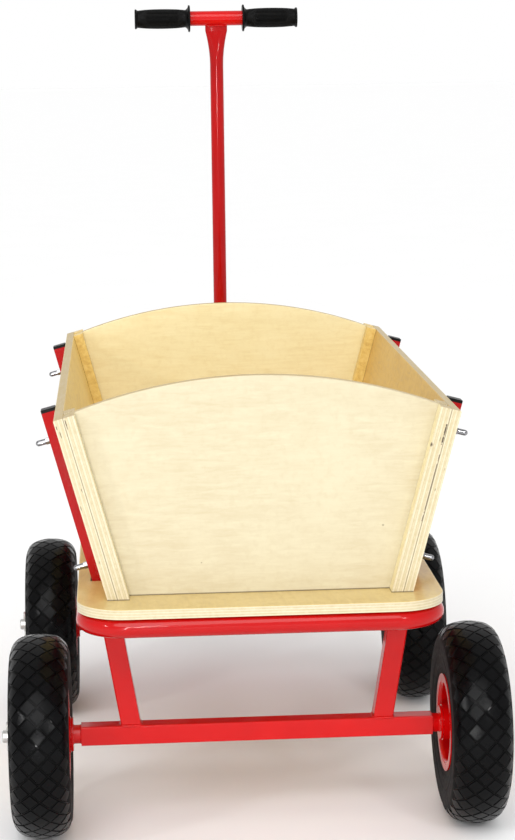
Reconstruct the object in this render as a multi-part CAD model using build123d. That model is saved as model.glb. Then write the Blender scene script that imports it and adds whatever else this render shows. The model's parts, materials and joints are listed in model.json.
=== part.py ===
from build123d import *
import os
from math import cos, radians, sin, sqrt, tan

# Hand wagon with a plywood box on a tube frame. Millimetres: X to the right, Y forward to the drawbar, Z up.
# The origin is on the ground, midway between the frame's rear edge and the nose of the drawbar bracket.

# Wheels and axles
WHEEL_D = 260.0
TYRE_W = 75.0
TREAD_T = 8.0
SIDEWALL_T = 4.0
CROWN_R = 70.0
SHOULDER_R = 24.0
BEAD_D = 103.0
BEAD_W = 12.0
RIM_D = 125.0
RIM_W = 70.0
RIM_WALL = 2.0
RIM_BEND_R = 4.0
RIM_WELL_W = 10.0
RIM_WEB_D = 72.0
HUB_L = 75.0
HUB_D = 46.0
BEARING_W = 12.0
TUBE_SKIN = 2.0
VALVE_D = 8.0
VALVE_L = 20.0
VALVE_BORE_D = 3.0
TRACK = 552.0
AXLE_D = 16.0
AXLE_TIP = 7.0
WASHER_D = 30.0
WASHER_T = 3.0
AXLE_COLLAR_D = 24.0
AXLE_COLLAR_L = 10.0
AXLE_FLANGE_D = 43.0
AXLE_FLANGE_T = 3.0
SPLIT_PIN_D = 3.6
SPLIT_PIN_EYE_R = 4.0
SPLIT_PIN_LEG = 9.0
SPLIT_PIN_SPREAD = 35.0

# Floor and frame
FLOOR_TOP = 333.0
FLOOR_L = 928.0
FLOOR_W = 448.0
FLOOR_T = 12.0
FLOOR_R = 60.0
RING_D = 25.0
RING_WALL = 2.0
RING_PROUD = 1.5
FRAME_TUBE = 25.0
TUBE_WALL = 2.0
TUBE_R = 2.0
BEAM_PLATE_T = 5.0
REAR_LEG_FOOT_X = 161.5

# Box
LEAN = 15.0
STAKE_SPACING = 600.0
STAKE = 19.0
STAKE_WALL = 2.0
STAKE_H = 224.0
SOCKET_WALL = 2.5
CAP_T = 4.0
CAP_PLUG_L = 12.0
BOARD_L = 832.0
BOARD_H = 230.0
BOARD_T = 12.0
BATTEN_W = 22.0
BATTEN_T = 14.0
PANEL_T = 12.0
PANEL_H = 224.0
ARCH_RISE = 45.0
WOOD_EDGE_R = 1.2
STUD_D = 5.0
STUD_DEPTH = 8.0
STUD_HEIGHTS = (22.0, 188.0)
DOME_NUT_FLATS = 8.0
DOME_NUT_HEX_H = 5.0
DOME_NUT_H = 18.0

# Steering
KINGPIN_SETBACK = 40.0
KINGPIN_D = 16.0
KINGPIN_FLATS = 24.0
KINGPIN_HEAD_H = 10.0
KINGPIN_NUT_H = 13.0
PIVOT_PLATE_W = 120.0
PIVOT_PLATE_T = 6.0
PLATE_MARGIN = 5.0
PLATE_R = 10.0
THRUST_WASHER_D = 70.0
THRUST_WASHER_T = 4.0
STEERING_PLATE_W = 140.0
STEERING_PLATE_L = 84.0
STEERING_PLATE_T = 8.0
FRONT_LEG_TOP_X = 45.0
FRONT_LEG_FOOT_X = 105.0

# Drawbar
HINGE_REACH = 280.0
HINGE_Z = 190.0
BRACKET_T = 5.0
EAR_R = 15.0
HINGE_BOLT_D = 10.0
HINGE_BOLT_FLATS = 17.0
HINGE_HEAD_H = 7.0
HINGE_NUT_H = 9.0
BOLT_OVERRUN = 3.0
DRAWBAR_LEAN = 2.5
POLE_D = 21.0
POLE_WALL = 2.0
POLE_L = 850.0
FLAT_W = 34.5
FLAT_T = 6.0
FLAT_L = 8.0
FLARE_L = 54.0
CROSSBAR_D = 23.0
CROSSBAR_WALL = 2.0
HANDLE_L = 256.0
GRIP_L = 87.0
GRIP_END_T = 3.0
GRIP_WALL = 2.0
GRIP_CROWN = 1.4
GRIP_FLANGE_T = 3.5
GRIP_FLANGE_D = 42.0
GRIP_END_D = 31.0

# Clearances
RUNNING = 0.05
PLAY = 0.3
HOLE_GAP = 2.0
GROOVE_GAP = 0.5
VALVE_GAP = 0.2

# Heights worked out from the sizes above
WHEEL_R = WHEEL_D / 2
UNDERSIDE = FLOOR_TOP - FLOOR_T
RING_Z = UNDERSIDE - RING_D / 2
FRAME_BOTTOM = UNDERSIDE - FRAME_TUBE
BEAM_TOP = WHEEL_R + FRAME_TUBE / 2
THRUST_TOP = FRAME_BOTTOM - PIVOT_PLATE_T
STEERING_TOP = THRUST_TOP - THRUST_WASHER_T
STEERING_BOTTOM = STEERING_TOP - STEERING_PLATE_T

# Places along the wagon
REAR_REACH = (FLOOR_L - STAKE_SPACING) / 2 + RING_PROUD
FRONT_REACH = STAKE_SPACING - KINGPIN_SETBACK + HINGE_REACH + EAR_R
REAR_Y = (REAR_REACH - FRONT_REACH) / 2
BOX_Y = REAR_Y + STAKE_SPACING / 2
FRONT_STAKE_Y = REAR_Y + STAKE_SPACING
FRONT_Y = FRONT_STAKE_Y - KINGPIN_SETBACK
HINGE_Y = FRONT_Y + HINGE_REACH

# Places across the wagon
LEAN_SIN = sin(radians(LEAN))
LEAN_COS = cos(radians(LEAN))
LEAN_TAN = tan(radians(LEAN))
RING_X = FLOOR_W / 2 + RING_PROUD - RING_D / 2
RING_TO_STAKE = RING_D / 2 + PLAY + STAKE / 2
STAKE_X = RING_X - RING_TO_STAKE * LEAN_COS + (FLOOR_TOP - RING_Z - RING_TO_STAKE * LEAN_SIN) * LEAN_TAN
BOARD_X = STAKE_X - STAKE / 2 / LEAN_COS
HUB_END_X = TRACK / 2 + HUB_L / 2 + PLAY
BEAM_HALF = TRACK / 2 - HUB_L / 2 - PLAY - AXLE_FLANGE_T - AXLE_COLLAR_L
SPLIT_PIN_X = HUB_END_X + WASHER_T + SPLIT_PIN_D / 2 + PLAY
AXLE_HALF = SPLIT_PIN_X + AXLE_TIP

SIDES = {"left": -1, "right": 1}


def save(name, *shapes):
    """Writes the solids of one node."""
    solids = [solid for shape in shapes for solid in shape.solids()]
    node = solids[0] if len(solids) == 1 else Compound(children=solids)
    export_step(node, f"parts/{name}.step")


def rod(radius, start, end):
    """Round bar between two points."""
    axis = Vector(*end) - Vector(*start)
    return extrude(Plane(origin=start, z_dir=axis) * Circle(radius), amount=axis.length)


def square_tube(start, end, x_dir):
    """Hollow square frame tube between two points."""
    axis = Vector(*end) - Vector(*start)
    inner = FRAME_TUBE - 2 * TUBE_WALL
    profile = RectangleRounded(FRAME_TUBE, FRAME_TUBE, TUBE_R) - Rectangle(inner, inner)
    return extrude(Plane(origin=start, x_dir=x_dir, z_dir=axis) * profile, amount=axis.length)


def level_slice(shape, low, high):
    """The part of a solid between two heights."""
    shape = split(shape, Plane.XY.offset(low), keep=Keep.TOP)
    return split(shape, Plane.XY.offset(high), keep=Keep.BOTTOM)


def leaning_tube(y, foot, head):
    """Square tube between two (x, z) points, cut level at both."""
    run = Vector(head[0] - foot[0], 0, head[1] - foot[1])
    spare = run.normalized() * FRAME_TUBE
    start = Vector(foot[0], y, foot[1]) - spare
    end = Vector(head[0], y, head[1]) + spare
    return level_slice(square_tube(tuple(start), tuple(end), (0, 1, 0)), foot[1], head[1])


def hexagon(across_flats, height):
    """Hexagonal prism standing on the XY plane."""
    return extrude(RegularPolygon(across_flats / 2, 6, major_radius=False), amount=height)


def both_sides(shape):
    """A solid on the right and its mirror image on the left."""
    return shape, mirror(shape, about=Plane.YZ)


# Wheels, each made about the X axis with its outer side towards +X


def tyre_outline(half_width, top, crown_r, shoulder_r, foot):
    """Half of a tyre's contour: crown, shoulder and sidewall arcs, each running smoothly into the next."""
    crown_z = top - crown_r
    shoulder_x = half_width - shoulder_r
    shoulder_rise = sqrt((crown_r - shoulder_r) ** 2 - shoulder_x ** 2)
    reach = crown_r / (crown_r - shoulder_r)
    crown_end = (shoulder_x * reach, crown_z + shoulder_rise * reach)
    widest = (half_width, crown_z + shoulder_rise)
    crown = TangentArc((0, top), crown_end, tangent=(1, 0))
    TangentArc(crown_end, widest, tangent=crown % 1)
    TangentArc(widest, foot, tangent=(0, -1))


def tyre():
    """Hollow tyre, open towards the rim between its two beads."""
    bead_outer = RIM_W / 2 - RIM_WALL
    bead_inner = bead_outer - BEAD_W
    rim_edge = RIM_D / 2 + RIM_WALL
    bead_r = BEAD_D / 2
    foot_r = bead_r + BEAD_W
    with BuildSketch() as section:
        with BuildLine():
            tyre_outline(TYRE_W / 2, WHEEL_R, CROWN_R, SHOULDER_R, (bead_outer, rim_edge))
            Polyline(
                (bead_outer, rim_edge),
                (bead_outer, bead_r + RIM_BEND_R),
                (bead_outer - RIM_BEND_R, bead_r),
                (bead_inner, bead_r),
                (bead_inner, foot_r),
            )
            tyre_outline(
                TYRE_W / 2 - SIDEWALL_T,
                WHEEL_R - TREAD_T,
                CROWN_R - TREAD_T,
                SHOULDER_R - TREAD_T,
                (bead_inner, foot_r),
            )
            Line((0, WHEEL_R), (0, WHEEL_R - TREAD_T))
        make_face()
        mirror(about=Plane.YZ)
    return revolve(section.sketch, Axis.X)


def valve_place():
    """Axial place of the valve: midway between the rim's well and the tyre's bead."""
    bead_inner = RIM_W / 2 - RIM_WALL - BEAD_W
    return (RIM_WELL_W / 2 + bead_inner) / 2


def inner_tube():
    """Air tube with its valve, which comes through the outer rim half towards the hub."""
    top = WHEEL_R - TREAD_T - PLAY
    bottom = BEAD_D / 2 + BEAD_W / 2
    middle = (top + bottom) / 2
    height = top - bottom
    width = TYRE_W - 2 * (SIDEWALL_T + BEAD_W / 2 + TUBE_SKIN)
    outer = Pos(0, middle) * SlotOverall(height, width, rotation=90)
    inner = Pos(0, middle) * SlotOverall(height - 2 * TUBE_SKIN, width - 2 * TUBE_SKIN, rotation=90)
    valve_foot = (valve_place(), 0, BEAD_D / 2 - VALVE_L)
    valve_root = (valve_place(), 0, middle)
    valve = rod(VALVE_D / 2, valve_foot, valve_root) - revolve(inner, Axis.X)
    return revolve(outer - inner, Axis.X) + valve - rod(VALVE_BORE_D / 2, valve_foot, valve_root)


def rim_half():
    """Pressed rim half: flange, bead seat, dished web and hub collar in one sheet."""
    skin = RIM_WALL / 2
    flange_x = RIM_W / 2 - skin
    seat_r = BEAD_D / 2 - skin
    hub_r = HUB_D / 2 - skin
    path = FilletPolyline(
        (flange_x, RIM_D / 2),
        (flange_x, seat_r),
        (RIM_WELL_W / 2, seat_r),
        (skin, RIM_WEB_D / 2),
        (skin, hub_r),
        (HUB_L / 2, hub_r),
        radius=RIM_BEND_R,
    )
    return revolve(trace(path, RIM_WALL), Axis.X)


def rim_halves():
    """Both halves, back to back, with the valve's hole through the outer one."""
    outer = rim_half()
    hole_r = VALVE_D / 2 + VALVE_GAP
    hole = rod(hole_r, (valve_place(), 0, HUB_D / 2 + RIM_WALL), (valve_place(), 0, RIM_D / 2))
    return outer - hole, Rot(0, 0, 180) * outer


def bearing():
    """Shielded ball bearing as one ring, with the shields set back between its races."""
    outer_r = HUB_D / 2 - RIM_WALL
    inner_r = AXLE_D / 2 + RUNNING
    race = (outer_r - inner_r) / 4
    setback = BEARING_W / 10
    ring = Cylinder(outer_r, BEARING_W) - Cylinder(inner_r, BEARING_W)
    shield = Cylinder(outer_r - race, setback) - Cylinder(inner_r + race, setback)
    for end in (-1, 1):
        ring -= Pos(0, 0, end * (BEARING_W - setback) / 2) * shield
    return Rot(0, 90, 0) * ring


def bearings():
    """A bearing in each end of the hub."""
    seat = (HUB_L - BEARING_W) / 2
    return Pos(seat, 0, 0) * bearing(), Pos(-seat, 0, 0) * bearing()


def save_wheel(name, side, y):
    """Writes the nodes of one wheel in its place."""
    turn = Rot(0, 0, 0) if side > 0 else Rot(0, 0, 180)
    place = Pos(side * TRACK / 2, y, WHEEL_R) * turn
    save(f"{name}_tyre", place * TYRE)
    save(f"{name}_inner_tube", place * INNER_TUBE)
    save(f"{name}_rim_halves", *[place * half for half in RIM_HALVES])
    save(f"{name}_bearings", *[place * ring for ring in BEARINGS])


# Axles, made about the X axis


def axle():
    """Round axle with a cross hole for the split pin near each end."""
    shaft = Rot(0, 90, 0) * Cylinder(AXLE_D / 2, 2 * AXLE_HALF)
    shaft = chamfer(shaft.edges(), WASHER_T / 2)
    hole_r = SPLIT_PIN_D / 2 + RUNNING
    for x in (-SPLIT_PIN_X, SPLIT_PIN_X):
        shaft -= rod(hole_r, (x, 0, -AXLE_D), (x, 0, AXLE_D))
    return shaft


def axle_beam():
    """Square tube beam with end plates, each carrying a flanged collar that the wheel's hub runs against."""
    beam = Rot(0, 90, 0) * extrude(RectangleRounded(FRAME_TUBE, FRAME_TUBE, TUBE_R), BEAM_HALF, both=True)
    inner = FRAME_TUBE - 2 * TUBE_WALL
    beam -= Box(2 * (BEAM_HALF - BEAM_PLATE_T), inner, inner)
    flange_x = BEAM_HALF + AXLE_COLLAR_L
    collar = rod(AXLE_COLLAR_D / 2, (BEAM_HALF, 0, 0), (flange_x, 0, 0))
    collar += rod(AXLE_FLANGE_D / 2, (flange_x, 0, 0), (flange_x + AXLE_FLANGE_T, 0, 0))
    for end in both_sides(collar):
        beam += end
    return beam - Rot(0, 90, 0) * Cylinder(AXLE_D / 2, 2 * AXLE_HALF)


def axle_washers():
    """A washer outside both wheels."""
    ring = extrude(Circle(WASHER_D / 2) - Circle(AXLE_D / 2), WASHER_T)
    return both_sides(Pos(HUB_END_X, 0, 0) * Rot(0, 90, 0) * ring)


def split_pins():
    """Split pin at each axle end: an eye above, two legs spread below."""
    reach = AXLE_D / 2 + SPLIT_PIN_D / 2
    pin_r = SPLIT_PIN_D / 2
    leg_r = SPLIT_PIN_D / 3
    pin = rod(pin_r, (0, 0, -reach), (0, 0, reach))
    pin += Pos(0, 0, reach + SPLIT_PIN_EYE_R) * Rot(0, 90, 0) * Torus(SPLIT_PIN_EYE_R, pin_r)
    for spread in (-SPLIT_PIN_SPREAD, SPLIT_PIN_SPREAD):
        pin += Pos(0, 0, -reach) * Rot(spread, 0, 0) * rod(leg_r, (0, 0, leg_r), (0, 0, -SPLIT_PIN_LEG))
    return both_sides(Pos(SPLIT_PIN_X, 0, 0) * pin)


def save_axle(name, y):
    """Writes the nodes of one axle in its place."""
    place = Pos(0, y, WHEEL_R)
    save(f"{name}_axle_beam", place * axle_beam())
    save(f"{name}_axle", place * axle())
    save(f"{name}_axle_washers", *[place * ring for ring in axle_washers()])
    save(f"{name}_split_pins", *[place * pin for pin in split_pins()])


# Frame


def ring_sweep(radius):
    """Round bar along the frame ring's centre line."""
    width = 2 * RING_X
    length = FLOOR_L + 2 * RING_PROUD - RING_D
    corner = FLOOR_R + RING_PROUD - RING_D / 2
    path = Pos(0, BOX_Y, RING_Z) * RectangleRounded(width, length, corner).face().outer_wire()
    return sweep(Plane(origin=path @ 0, z_dir=path % 0) * Circle(radius), path=path)


def stake_plane(y):
    """Plane across the right-hand stake at floor level: its X runs along the wagon, its Y inwards."""
    return Plane(origin=(STAKE_X, y, FLOOR_TOP), x_dir=(0, 1, 0), z_dir=(LEAN_SIN, 0, LEAN_COS))


def stake_axis_x(z):
    """Where the right-hand stakes' centre line crosses a height."""
    return STAKE_X + (z - FLOOR_TOP) * LEAN_TAN


def stake_prism(y, gap):
    """Space taken by a stake grown by a gap, from below the frame to above the floor."""
    side = STAKE + 2 * gap
    length = 2 * (FLOOR_T + RING_D)
    return extrude(stake_plane(y) * Rectangle(side, side), length / 2, both=True)


def socket_block(y):
    """Outside of a stake socket, filled, reaching out to the frame ring."""
    back = STAKE / 2 + PLAY + SOCKET_WALL
    front = STAKE / 2 + RING_D / 4
    block = stake_plane(y) * Pos(0, (back - front) / 2) * Rectangle(2 * back, back + front)
    return level_slice(extrude(block, 2 * RING_D, both=True), FRAME_BOTTOM, UNDERSIDE)


def stake_socket(y):
    """Channel that holds a stake against the frame ring, its side walls shaped to the ring."""
    back = STAKE / 2 + PLAY
    front = STAKE / 2 + RING_D
    slot = stake_plane(y) * Pos(0, (back - front) / 2) * Rectangle(2 * back, back + front)
    return socket_block(y) - extrude(slot, 2 * RING_D, both=True) - RING_BAR


def socket_cross_member(y):
    """Square tube between the left and right stake sockets."""
    half = stake_axis_x(RING_Z)
    z = UNDERSIDE - FRAME_TUBE / 2
    tube = square_tube((-half, y, z), (half, y, z), (0, 1, 0))
    for block in both_sides(socket_block(y)):
        tube -= block
    return tube


def ring_cross_member(y):
    """Square tube across the frame, its ends shaped to the ring."""
    half = RING_X - RING_D / 4
    z = UNDERSIDE - FRAME_TUBE / 2
    return square_tube((-half, y, z), (half, y, z), (0, 1, 0)) - RING_BAR


def rear_leg():
    """Leg from a rear stake socket down to the axle beam."""
    return leaning_tube(REAR_Y, (REAR_LEG_FOOT_X, BEAM_TOP), (stake_axis_x(FRAME_BOTTOM), FRAME_BOTTOM))


def floor_board():
    """Floor with round corners and a leaning hole for each stake."""
    board = extrude(RectangleRounded(FLOOR_W, FLOOR_L, FLOOR_R), FLOOR_T)
    board = fillet(board.faces().sort_by(Axis.Z)[-1].edges(), WOOD_EDGE_R)
    board = Pos(0, BOX_Y, UNDERSIDE) * board
    for y in (REAR_Y, FRONT_STAKE_Y):
        for hole in both_sides(stake_prism(y, HOLE_GAP)):
            board -= hole
    return board


# Side walls, made on the right


def slope_point(along, inward):
    """Point (x, z) of the wall's section, up the slope from the floor and in from the stakes."""
    x = BOARD_X + along * LEAN_SIN - inward * LEAN_COS
    return x, FLOOR_TOP + along * LEAN_COS + inward * LEAN_SIN


def wall_slab(outer, inner, start, end):
    """Leaning slab between two depths in the wall, square at the top and level on the floor."""
    foot_outer = (BOARD_X - outer / LEAN_COS, FLOOR_TOP)
    foot_inner = (BOARD_X - inner / LEAN_COS, FLOOR_TOP)
    outline = (foot_outer, slope_point(BOARD_H, outer), slope_point(BOARD_H, inner), foot_inner)
    section = Plane(origin=(0, start, 0), x_dir=(1, 0, 0), z_dir=(0, -1, 0)) * Polygon(*outline, align=None)
    return extrude(section, -(end - start))


def stud_places():
    """Place of each stud: on the stake's centre line, pointing outwards."""
    for y in (REAR_Y, FRONT_STAKE_Y):
        for height in STUD_HEIGHTS:
            x = STAKE_X + height * LEAN_SIN
            z = FLOOR_TOP + height * LEAN_COS
            yield Plane(origin=(x, y, z), x_dir=(0, 1, 0), z_dir=(LEAN_COS, 0, -LEAN_SIN))


def stud_bar(plane):
    """Stud from inside the side board, through the stake and into its dome nut."""
    start = -STAKE / 2 - STUD_DEPTH
    end = STAKE / 2 + DOME_NUT_H - DOME_NUT_FLATS / 2
    return extrude(plane.offset(start) * Circle(STUD_D / 2), end - start)


def dome_nut(plane):
    """Hexagon nut with a closed, rounded end."""
    ball_r = DOME_NUT_FLATS / 2 - PLAY
    barrel_h = DOME_NUT_H - ball_r
    dome = Pos(0, 0, barrel_h / 2) * Cylinder(ball_r, barrel_h) + Pos(0, 0, barrel_h) * Sphere(ball_r)
    nut = hexagon(DOME_NUT_FLATS, DOME_NUT_HEX_H) + split(dome, Plane.XY, keep=Keep.TOP)
    return plane.offset(STAKE / 2).location * nut - stud_bar(plane)


def side_board():
    """Plywood side, standing on the floor against its stakes."""
    board = wall_slab(0, BOARD_T, BOX_Y - BOARD_L / 2, BOX_Y + BOARD_L / 2)
    board = fillet(board.edges().filter_by(Axis.Y).sort_by(Axis.Z)[-2:], WOOD_EDGE_R)
    for plane in stud_places():
        board -= stud_bar(plane)
    return board


def battens():
    """Pairs of battens that leave a groove for the end panel at each end of the side board."""
    groove = PANEL_T + 2 * GROOVE_GAP
    for end in (-1, 1):
        for offset in (0, BATTEN_W + groove):
            outer = BOX_Y + end * (BOARD_L / 2 - offset)
            inner = outer - end * BATTEN_W
            yield wall_slab(BOARD_T, BOARD_T + BATTEN_T, min(outer, inner), max(outer, inner))


def stake(y):
    """Square tube stake, cut level inside its socket and square at the top."""
    plane = stake_plane(y)
    hollow = STAKE - 2 * STAKE_WALL
    profile = RectangleRounded(STAKE, STAKE, TUBE_R) - Rectangle(hollow, hollow)
    depth = 2 * RING_D
    bar = extrude(plane.offset(-depth) * profile, depth + STAKE_H)
    bar = split(bar, Plane.XY.offset(FRAME_BOTTOM + STAKE_WALL), keep=Keep.TOP)
    for stud in stud_places():
        bar -= stud_bar(stud)
    return bar


def stake_cap(y):
    """Plastic cap pushed into the stake's top."""
    plug = STAKE - 2 * STAKE_WALL
    head = extrude(RectangleRounded(STAKE, STAKE, TUBE_R), CAP_T)
    head = fillet(head.faces().sort_by(Axis.Z)[-1].edges(), TUBE_R / 2)
    cap = head + extrude(Rectangle(plug, plug), -CAP_PLUG_L)
    return stake_plane(y).offset(STAKE_H).location * cap


def save_wall(name, side):
    """Writes the nodes of one side wall."""

    def placed(shapes):
        return [shape if side > 0 else mirror(shape, about=Plane.YZ) for shape in shapes]

    ends = (REAR_Y, FRONT_STAKE_Y)
    save(f"{name}_side_board", *placed([side_board()]))
    save(f"{name}_battens", *placed(battens()))
    save(f"{name}_stakes", *placed(stake(y) for y in ends))
    save(f"{name}_stake_caps", *placed(stake_cap(y) for y in ends))
    save(f"{name}_studs", *placed(stud_bar(plane) for plane in stud_places()))
    save(f"{name}_dome_nuts", *placed(dome_nut(plane) for plane in stud_places()))


def end_panel(end):
    """Arched end panel, standing on the floor in the grooves of both side walls."""
    clear = (BOARD_T + GROOVE_GAP) / LEAN_COS
    foot = BOARD_X - clear
    shoulder = foot + PANEL_H * LEAN_TAN
    top = FLOOR_TOP + PANEL_H
    with BuildSketch(Plane.XZ) as outline:
        with BuildLine():
            Polyline((-shoulder, top), (-foot, FLOOR_TOP), (foot, FLOOR_TOP), (shoulder, top))
            ThreePointArc((shoulder, top), (0, top + ARCH_RISE), (-shoulder, top))
        make_face()
    panel = extrude(outline.sketch, PANEL_T / 2, both=True)
    panel = fillet(panel.edges().filter_by(GeomType.CIRCLE), WOOD_EDGE_R)
    middle = BOARD_L / 2 - BATTEN_W - GROOVE_GAP - PANEL_T / 2
    return Pos(0, BOX_Y + end * middle, 0) * panel


# Steering, made about the kingpin's axis


def pivot_plate():
    """Plate under the two cross-members that carries the kingpin."""
    length = 2 * KINGPIN_SETBACK + FRAME_TUBE + 2 * PLATE_MARGIN
    plate = RectangleRounded(PIVOT_PLATE_W, length, PLATE_R) - Circle(KINGPIN_D / 2)
    return Pos(0, FRONT_Y, THRUST_TOP) * extrude(plate, PIVOT_PLATE_T)


def kingpin():
    """Bolt down through the pivot plate and the steering plate."""
    tail = STEERING_BOTTOM - PLAY - KINGPIN_NUT_H - BOLT_OVERRUN
    head = Pos(0, FRONT_Y, FRAME_BOTTOM) * hexagon(KINGPIN_FLATS, KINGPIN_HEAD_H)
    return head + rod(KINGPIN_D / 2, (0, FRONT_Y, tail), (0, FRONT_Y, FRAME_BOTTOM))


def kingpin_nut():
    """Nut that keeps the steering plate up on the kingpin."""
    nut = hexagon(KINGPIN_FLATS, KINGPIN_NUT_H) - extrude(Circle(KINGPIN_D / 2), KINGPIN_NUT_H)
    return Pos(0, FRONT_Y, STEERING_BOTTOM - PLAY - KINGPIN_NUT_H) * nut


def thrust_washer():
    """Plain bearing ring between the two plates."""
    ring = Circle(THRUST_WASHER_D / 2) - Circle(KINGPIN_D / 2)
    return Pos(0, FRONT_Y, STEERING_TOP) * extrude(ring, THRUST_WASHER_T)


def steering_plate():
    """Plate that turns on the kingpin."""
    plate = RectangleRounded(STEERING_PLATE_W, STEERING_PLATE_L, PLATE_R) - Circle(KINGPIN_D / 2 + RUNNING)
    return Pos(0, FRONT_Y, STEERING_BOTTOM) * extrude(plate, STEERING_PLATE_T)


def front_leg():
    """Leg from the steering plate out and down to the front axle beam."""
    return leaning_tube(FRONT_Y, (FRONT_LEG_FOOT_X, BEAM_TOP), (FRONT_LEG_TOP_X, STEERING_BOTTOM))


# Drawbar


EAR_INNER_X = POLE_D / 2 + PLAY
EAR_OUTER_X = EAR_INNER_X + BRACKET_T
WEB_FRONT = POLE_D / 2 / cos(radians(DRAWBAR_LEAN)) + EAR_R * tan(radians(DRAWBAR_LEAN)) + PLAY
WEB_BACK = WEB_FRONT + BRACKET_T


def drawbar_bracket():
    """Bent U plate: two ears for the hinge bolt, and a web that stops the upright pole."""
    with BuildSketch(Plane.YZ) as side:
        Circle(EAR_R)
        with Locations((-WEB_BACK / 2, 0)):
            Rectangle(WEB_BACK, 2 * EAR_R)
    block = extrude(side.sketch, EAR_OUTER_X, both=True)
    back_edges = block.edges().filter_by(Axis.Z).group_by(Axis.Y)[0]
    block = fillet(back_edges, BRACKET_T - PLAY)
    slot = Pos(0, EAR_R - WEB_FRONT, 0) * Box(2 * EAR_INNER_X, 2 * EAR_R, 2 * EAR_R)
    bolt = rod(HINGE_BOLT_D / 2, (-EAR_OUTER_X, 0, 0), (EAR_OUTER_X, 0, 0))
    return Pos(0, HINGE_Y, HINGE_Z) * (block - slot - bolt)


def drawbar_strut():
    """Square tube from the front axle beam up to the drawbar bracket."""
    beam_face = FRONT_Y + FRAME_TUBE / 2
    bracket_back = HINGE_Y - WEB_BACK
    start = Vector(0, beam_face, WHEEL_R)
    end = Vector(0, bracket_back, HINGE_Z)
    spare = (end - start).normalized() * FRAME_TUBE
    tube = square_tube(tuple(start - spare), tuple(end + spare), (1, 0, 0))
    tube = split(tube, Plane(origin=start, z_dir=(0, 1, 0)), keep=Keep.TOP)
    return split(tube, Plane(origin=end, z_dir=(0, 1, 0)), keep=Keep.BOTTOM)


def hinge_bolt():
    """Bolt through the bracket's ears and the pole's foot, its head on the right."""
    tail = EAR_OUTER_X + HINGE_NUT_H + BOLT_OVERRUN
    head = Pos(EAR_OUTER_X, 0, 0) * Rot(0, 90, 0) * hexagon(HINGE_BOLT_FLATS, HINGE_HEAD_H)
    return Pos(0, HINGE_Y, HINGE_Z) * (head + rod(HINGE_BOLT_D / 2, (-tail, 0, 0), (EAR_OUTER_X, 0, 0)))


def hinge_nut():
    """Nut on the hinge bolt's left end."""
    nut = hexagon(HINGE_BOLT_FLATS, HINGE_NUT_H) - extrude(Circle(HINGE_BOLT_D / 2), HINGE_NUT_H)
    return Pos(-EAR_OUTER_X, HINGE_Y, HINGE_Z) * Rot(0, -90, 0) * nut


def flare_section(part, z):
    """Section of the pressed pole end, from round at 0 to flat at 1."""
    width = POLE_D + (FLAT_W - POLE_D) * part ** 2
    thickness = POLE_D + (FLAT_T - POLE_D) * part ** 2
    return Pos(0, 0, z) * Ellipse(width / 2, thickness / 2)


def drawbar_pole():
    """Tube with a round, drilled foot, pressed flat and spread at the top to meet the crossbar."""
    flat_foot = POLE_L - CROSSBAR_D / 2 - FLAT_L
    flare_foot = flat_foot - FLARE_L
    radius = POLE_D / 2
    foot = rod(radius, (-radius, 0, 0), (radius, 0, 0)) & Cylinder(radius, POLE_D)
    tube = foot + rod(radius, (0, 0, 0), (0, 0, flare_foot))
    tube -= rod(radius - POLE_WALL, (0, 0, -POLE_D), (0, 0, flare_foot))
    flare = loft([flare_section(part / 4, flare_foot + FLARE_L * part / 4) for part in range(5)])
    flat = extrude(flare_section(1, flat_foot), POLE_L - flat_foot)
    hinge_hole = rod(HINGE_BOLT_D / 2 + RUNNING, (-POLE_D, 0, 0), (POLE_D, 0, 0))
    bar = rod(CROSSBAR_D / 2, (-FLAT_W, 0, POLE_L), (FLAT_W, 0, POLE_L))
    return tube + flare + flat - hinge_hole - bar


def crossbar():
    """Straight tube across the pole's top, its ends inside the grips."""
    half = HANDLE_L / 2 - GRIP_END_T
    profile = Circle(CROSSBAR_D / 2) - Circle(CROSSBAR_D / 2 - CROSSBAR_WALL)
    return Pos(0, 0, POLE_L) * Rot(0, 90, 0) * extrude(profile, half, both=True)


def grip():
    """Barrel-shaped right-hand grip with a wide inner flange and a smaller, closed outer end."""
    bore = CROSSBAR_D / 2
    flange_r = GRIP_FLANGE_D / 2
    inner_end = HANDLE_L / 2 - GRIP_L
    outer_end = HANDLE_L / 2
    body_start = (inner_end + GRIP_FLANGE_T, bore + GRIP_WALL)
    body_end = (outer_end - GRIP_FLANGE_T, bore + GRIP_WALL)
    body_top = ((body_start[0] + body_end[0]) / 2, bore + GRIP_WALL + GRIP_CROWN)
    with BuildSketch() as section:
        with BuildLine():
            Polyline((outer_end - GRIP_END_T, 0), (outer_end - GRIP_END_T, bore), (inner_end, bore))
            Polyline((inner_end, bore), (inner_end, flange_r), (body_start[0], flange_r), body_start)
            ThreePointArc(body_start, body_top, body_end)
            Polyline(body_end, (body_end[0], GRIP_END_D / 2), (outer_end, GRIP_END_D / 2), (outer_end, 0))
            Line((outer_end, 0), (outer_end - GRIP_END_T, 0))
        make_face()
    return Pos(0, 0, POLE_L) * revolve(section.sketch, Axis.X)


os.makedirs("parts", exist_ok=True)

RING_BAR = ring_sweep(RING_D / 2)
TYRE = tyre()
INNER_TUBE = inner_tube()
RIM_HALVES = rim_halves()
BEARINGS = bearings()

save("frame_ring", RING_BAR - ring_sweep(RING_D / 2 - RING_WALL))
save("stake_sockets", *both_sides(stake_socket(REAR_Y)), *both_sides(stake_socket(FRONT_STAKE_Y)))
save("rear_cross_member", socket_cross_member(REAR_Y))
save("front_cross_member", socket_cross_member(FRONT_STAKE_Y))
save("pivot_cross_member", ring_cross_member(FRONT_Y - KINGPIN_SETBACK))
save("rear_legs", *both_sides(rear_leg()))
save("floor_board", floor_board())
save("rear_panel", end_panel(-1))
save("front_panel", end_panel(1))
for side_name, side_sign in SIDES.items():
    save_wall(side_name, side_sign)

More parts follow.
